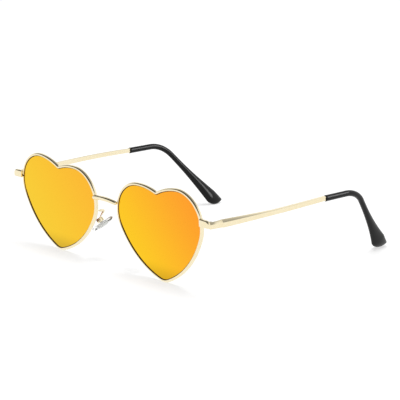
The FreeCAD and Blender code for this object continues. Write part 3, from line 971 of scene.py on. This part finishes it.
# Studio
# A white floor that keeps soft shadows, a white surround that is mirrored as darker overhead and
# in front, a soft lamp above, a long one for the streak along the black tips, and the camera.
floor_size = 4.0
floor_glow = 0.62
floor_far_glow = 0.8
floor_plain_radius = 0.14
floor_far_radius = 0.45
floor_shade = 0.47
surround_light = 0.35
overhead_shade = 0.4
overhead_heights = (0.6, 0.8)
front_shade = 0.06
front_headings = (0.1, -0.2)
front_heights = (0.15, 0.4)
lamp_height = 0.75
lamp_size = 0.45
lamp_power = 4.6
streak_place = Vector((0.57, 0.55, 0.35))
streak_lie = Vector((0.3, -0.1, -0.34))
streak_width = 0.24
streak_length = 0.5
streak_power = 2.6
camera_target = Vector((0, -0.004177, 0.0231))
camera_distance = 0.938
camera_azimuth = math.radians(47.687)
camera_elevation = math.radians(13.4305)
camera_roll = math.radians(0.3989)
camera_lens = 172.58
camera_sensor = 36


def seen_directly(tree):
    """One for rays from the camera, from mirrors and through clear pieces, and zero for others."""
    path = add_node(tree, "ShaderNodeLightPath").outputs
    seen = path["Is Camera Ray"]
    for name in ("Is Glossy Ray", "Is Transmission Ray"):
        seen = sum_of(tree, "MAXIMUM", seen, path[name])
    return seen


floor_finish = bpy.data.materials.new("white_floor")
floor_finish.use_nodes = True
tree = floor_finish.node_tree
tree.nodes.clear()
matt = add_node(
    tree, "ShaderNodeBsdfDiffuse", {"Color": (floor_shade, floor_shade, floor_shade, 1)}
)
spread = add_node(
    tree,
    "ShaderNodeVectorMath",
    {0: add_node(tree, "ShaderNodeTexCoord").outputs["Object"]},
    operation="LENGTH",
)
ground = run_of(
    tree,
    spread.outputs["Value"],
    floor_plain_radius,
    floor_far_radius,
    floor_glow,
    floor_far_glow,
    "SMOOTHSTEP",
)
strength = sum_of(tree, "MULTIPLY", seen_directly(tree), ground)
glow = add_node(tree, "ShaderNodeEmission", {"Strength": strength})
both = add_node(tree, "ShaderNodeAddShader", {0: matt.outputs[0], 1: glow.outputs[0]})
blank = add_node(tree, "ShaderNodeEmission", {"Strength": 1})
mirrored = add_node(tree, "ShaderNodeLightPath").outputs["Is Glossy Ray"]
shown = add_node(
    tree, "ShaderNodeMixShader", {0: mirrored, 1: both.outputs[0], 2: blank.outputs[0]}
)
add_node(tree, "ShaderNodeOutputMaterial", {"Surface": shown.outputs[0]})
floor_mesh = bpy.data.meshes.new("floor")
edge = floor_size / 2
floor_mesh.from_pydata(
    [(-edge, -edge, 0), (edge, -edge, 0), (edge, edge, 0), (-edge, edge, 0)], [], [(0, 1, 2, 3)]
)
floor_mesh.materials.append(floor_finish)
floor = bpy.data.objects.new("floor", floor_mesh)
floor.location.z = cad_box[0][2]
bpy.context.scene.collection.objects.link(floor)

world = bpy.data.worlds.new("white_surround")
bpy.context.scene.world = world
world.use_nodes = True
tree = world.node_tree
tree.nodes.clear()
path = add_node(tree, "ShaderNodeLightPath").outputs
heading = add_node(tree, "ShaderNodeTexCoord").outputs["Generated"]
heading = add_node(tree, "ShaderNodeSeparateXYZ", {"Vector": heading}).outputs
overhead = run_of(tree, heading["Z"], *overhead_heights, 1, overhead_shade)
in_front = run_of(tree, heading["Y"], *front_headings, 1, front_shade)
near_floor = run_of(tree, heading["Z"], *front_heights, 1, front_shade)
front_band = sum_of(tree, "MAXIMUM", in_front, near_floor)
dimmed = sum_of(tree, "MINIMUM", overhead, front_band)
plain = add_node(tree, "ShaderNodeBackground", {"Strength": surround_light})
mirrored = add_node(tree, "ShaderNodeBackground", {"Strength": dimmed})
white = add_node(tree, "ShaderNodeBackground", {"Strength": 1})
for background in (plain, mirrored, white):
    background.inputs["Color"].default_value = (1, 1, 1, 1)
bent = sum_of(tree, "MAXIMUM", path["Is Glossy Ray"], path["Is Transmission Ray"])
polished = add_node(
    tree, "ShaderNodeMixShader", {0: bent, 1: plain.outputs[0], 2: mirrored.outputs[0]}
)
shown = add_node(
    tree,
    "ShaderNodeMixShader",
    {0: path["Is Camera Ray"], 1: polished.outputs[0], 2: white.outputs[0]},
)
add_node(tree, "ShaderNodeOutputWorld", {"Surface": shown.outputs[0]})

lamp = bpy.data.lights.new("overhead_lamp", "AREA")
lamp.size = lamp_size
lamp.energy = lamp_power
lamp_object = bpy.data.objects.new("overhead_lamp", lamp)
lamp_object.location = (0, 0, lamp_height)
lamp_object.visible_glossy = False
lamp_object.visible_camera = False
bpy.context.scene.collection.objects.link(lamp_object)

streak_lamp = bpy.data.lights.new("streak_lamp", "AREA")
streak_lamp.shape = "RECTANGLE"
streak_lamp.size = streak_width
streak_lamp.size_y = streak_length
streak_lamp.energy = streak_power
streak_object = bpy.data.objects.new("streak_lamp", streak_lamp)
away = streak_place.normalized()
long_side = (streak_lie - away * streak_lie.dot(away)).normalized()
aim = Matrix((long_side.cross(away), long_side, away)).transposed().to_4x4()
streak_object.matrix_world = Matrix.Translation(streak_place) @ aim
streak_object.visible_camera = False
bpy.context.scene.collection.objects.link(streak_object)
lit_tips = bpy.data.collections.new("lit_tips")
for tip in black_tips:
    lit_tips.objects.link(tip)
streak_object.light_linking.receiver_collection = lit_tips

camera = bpy.data.cameras.new("camera")
camera.lens = camera_lens
camera.sensor_width = camera_sensor
to_camera = Vector(
    (
        math.sin(camera_azimuth) * math.cos(camera_elevation),
        -math.cos(camera_azimuth) * math.cos(camera_elevation),
        math.sin(camera_elevation),
    )
)
level = Vector((math.cos(camera_azimuth), math.sin(camera_azimuth), 0))
upright = to_camera.cross(level)
rolled = level * math.cos(camera_roll) + upright * math.sin(camera_roll)
pose = Matrix((rolled, to_camera.cross(rolled), to_camera)).transposed().to_4x4()
pose.translation = camera_target + to_camera * camera_distance
camera_object = bpy.data.objects.new("camera", camera)
camera_object.matrix_world = pose
bpy.context.scene.collection.objects.link(camera_object)
bpy.context.scene.camera = camera_object
bpy.context.scene.view_settings.view_transform = "Standard"
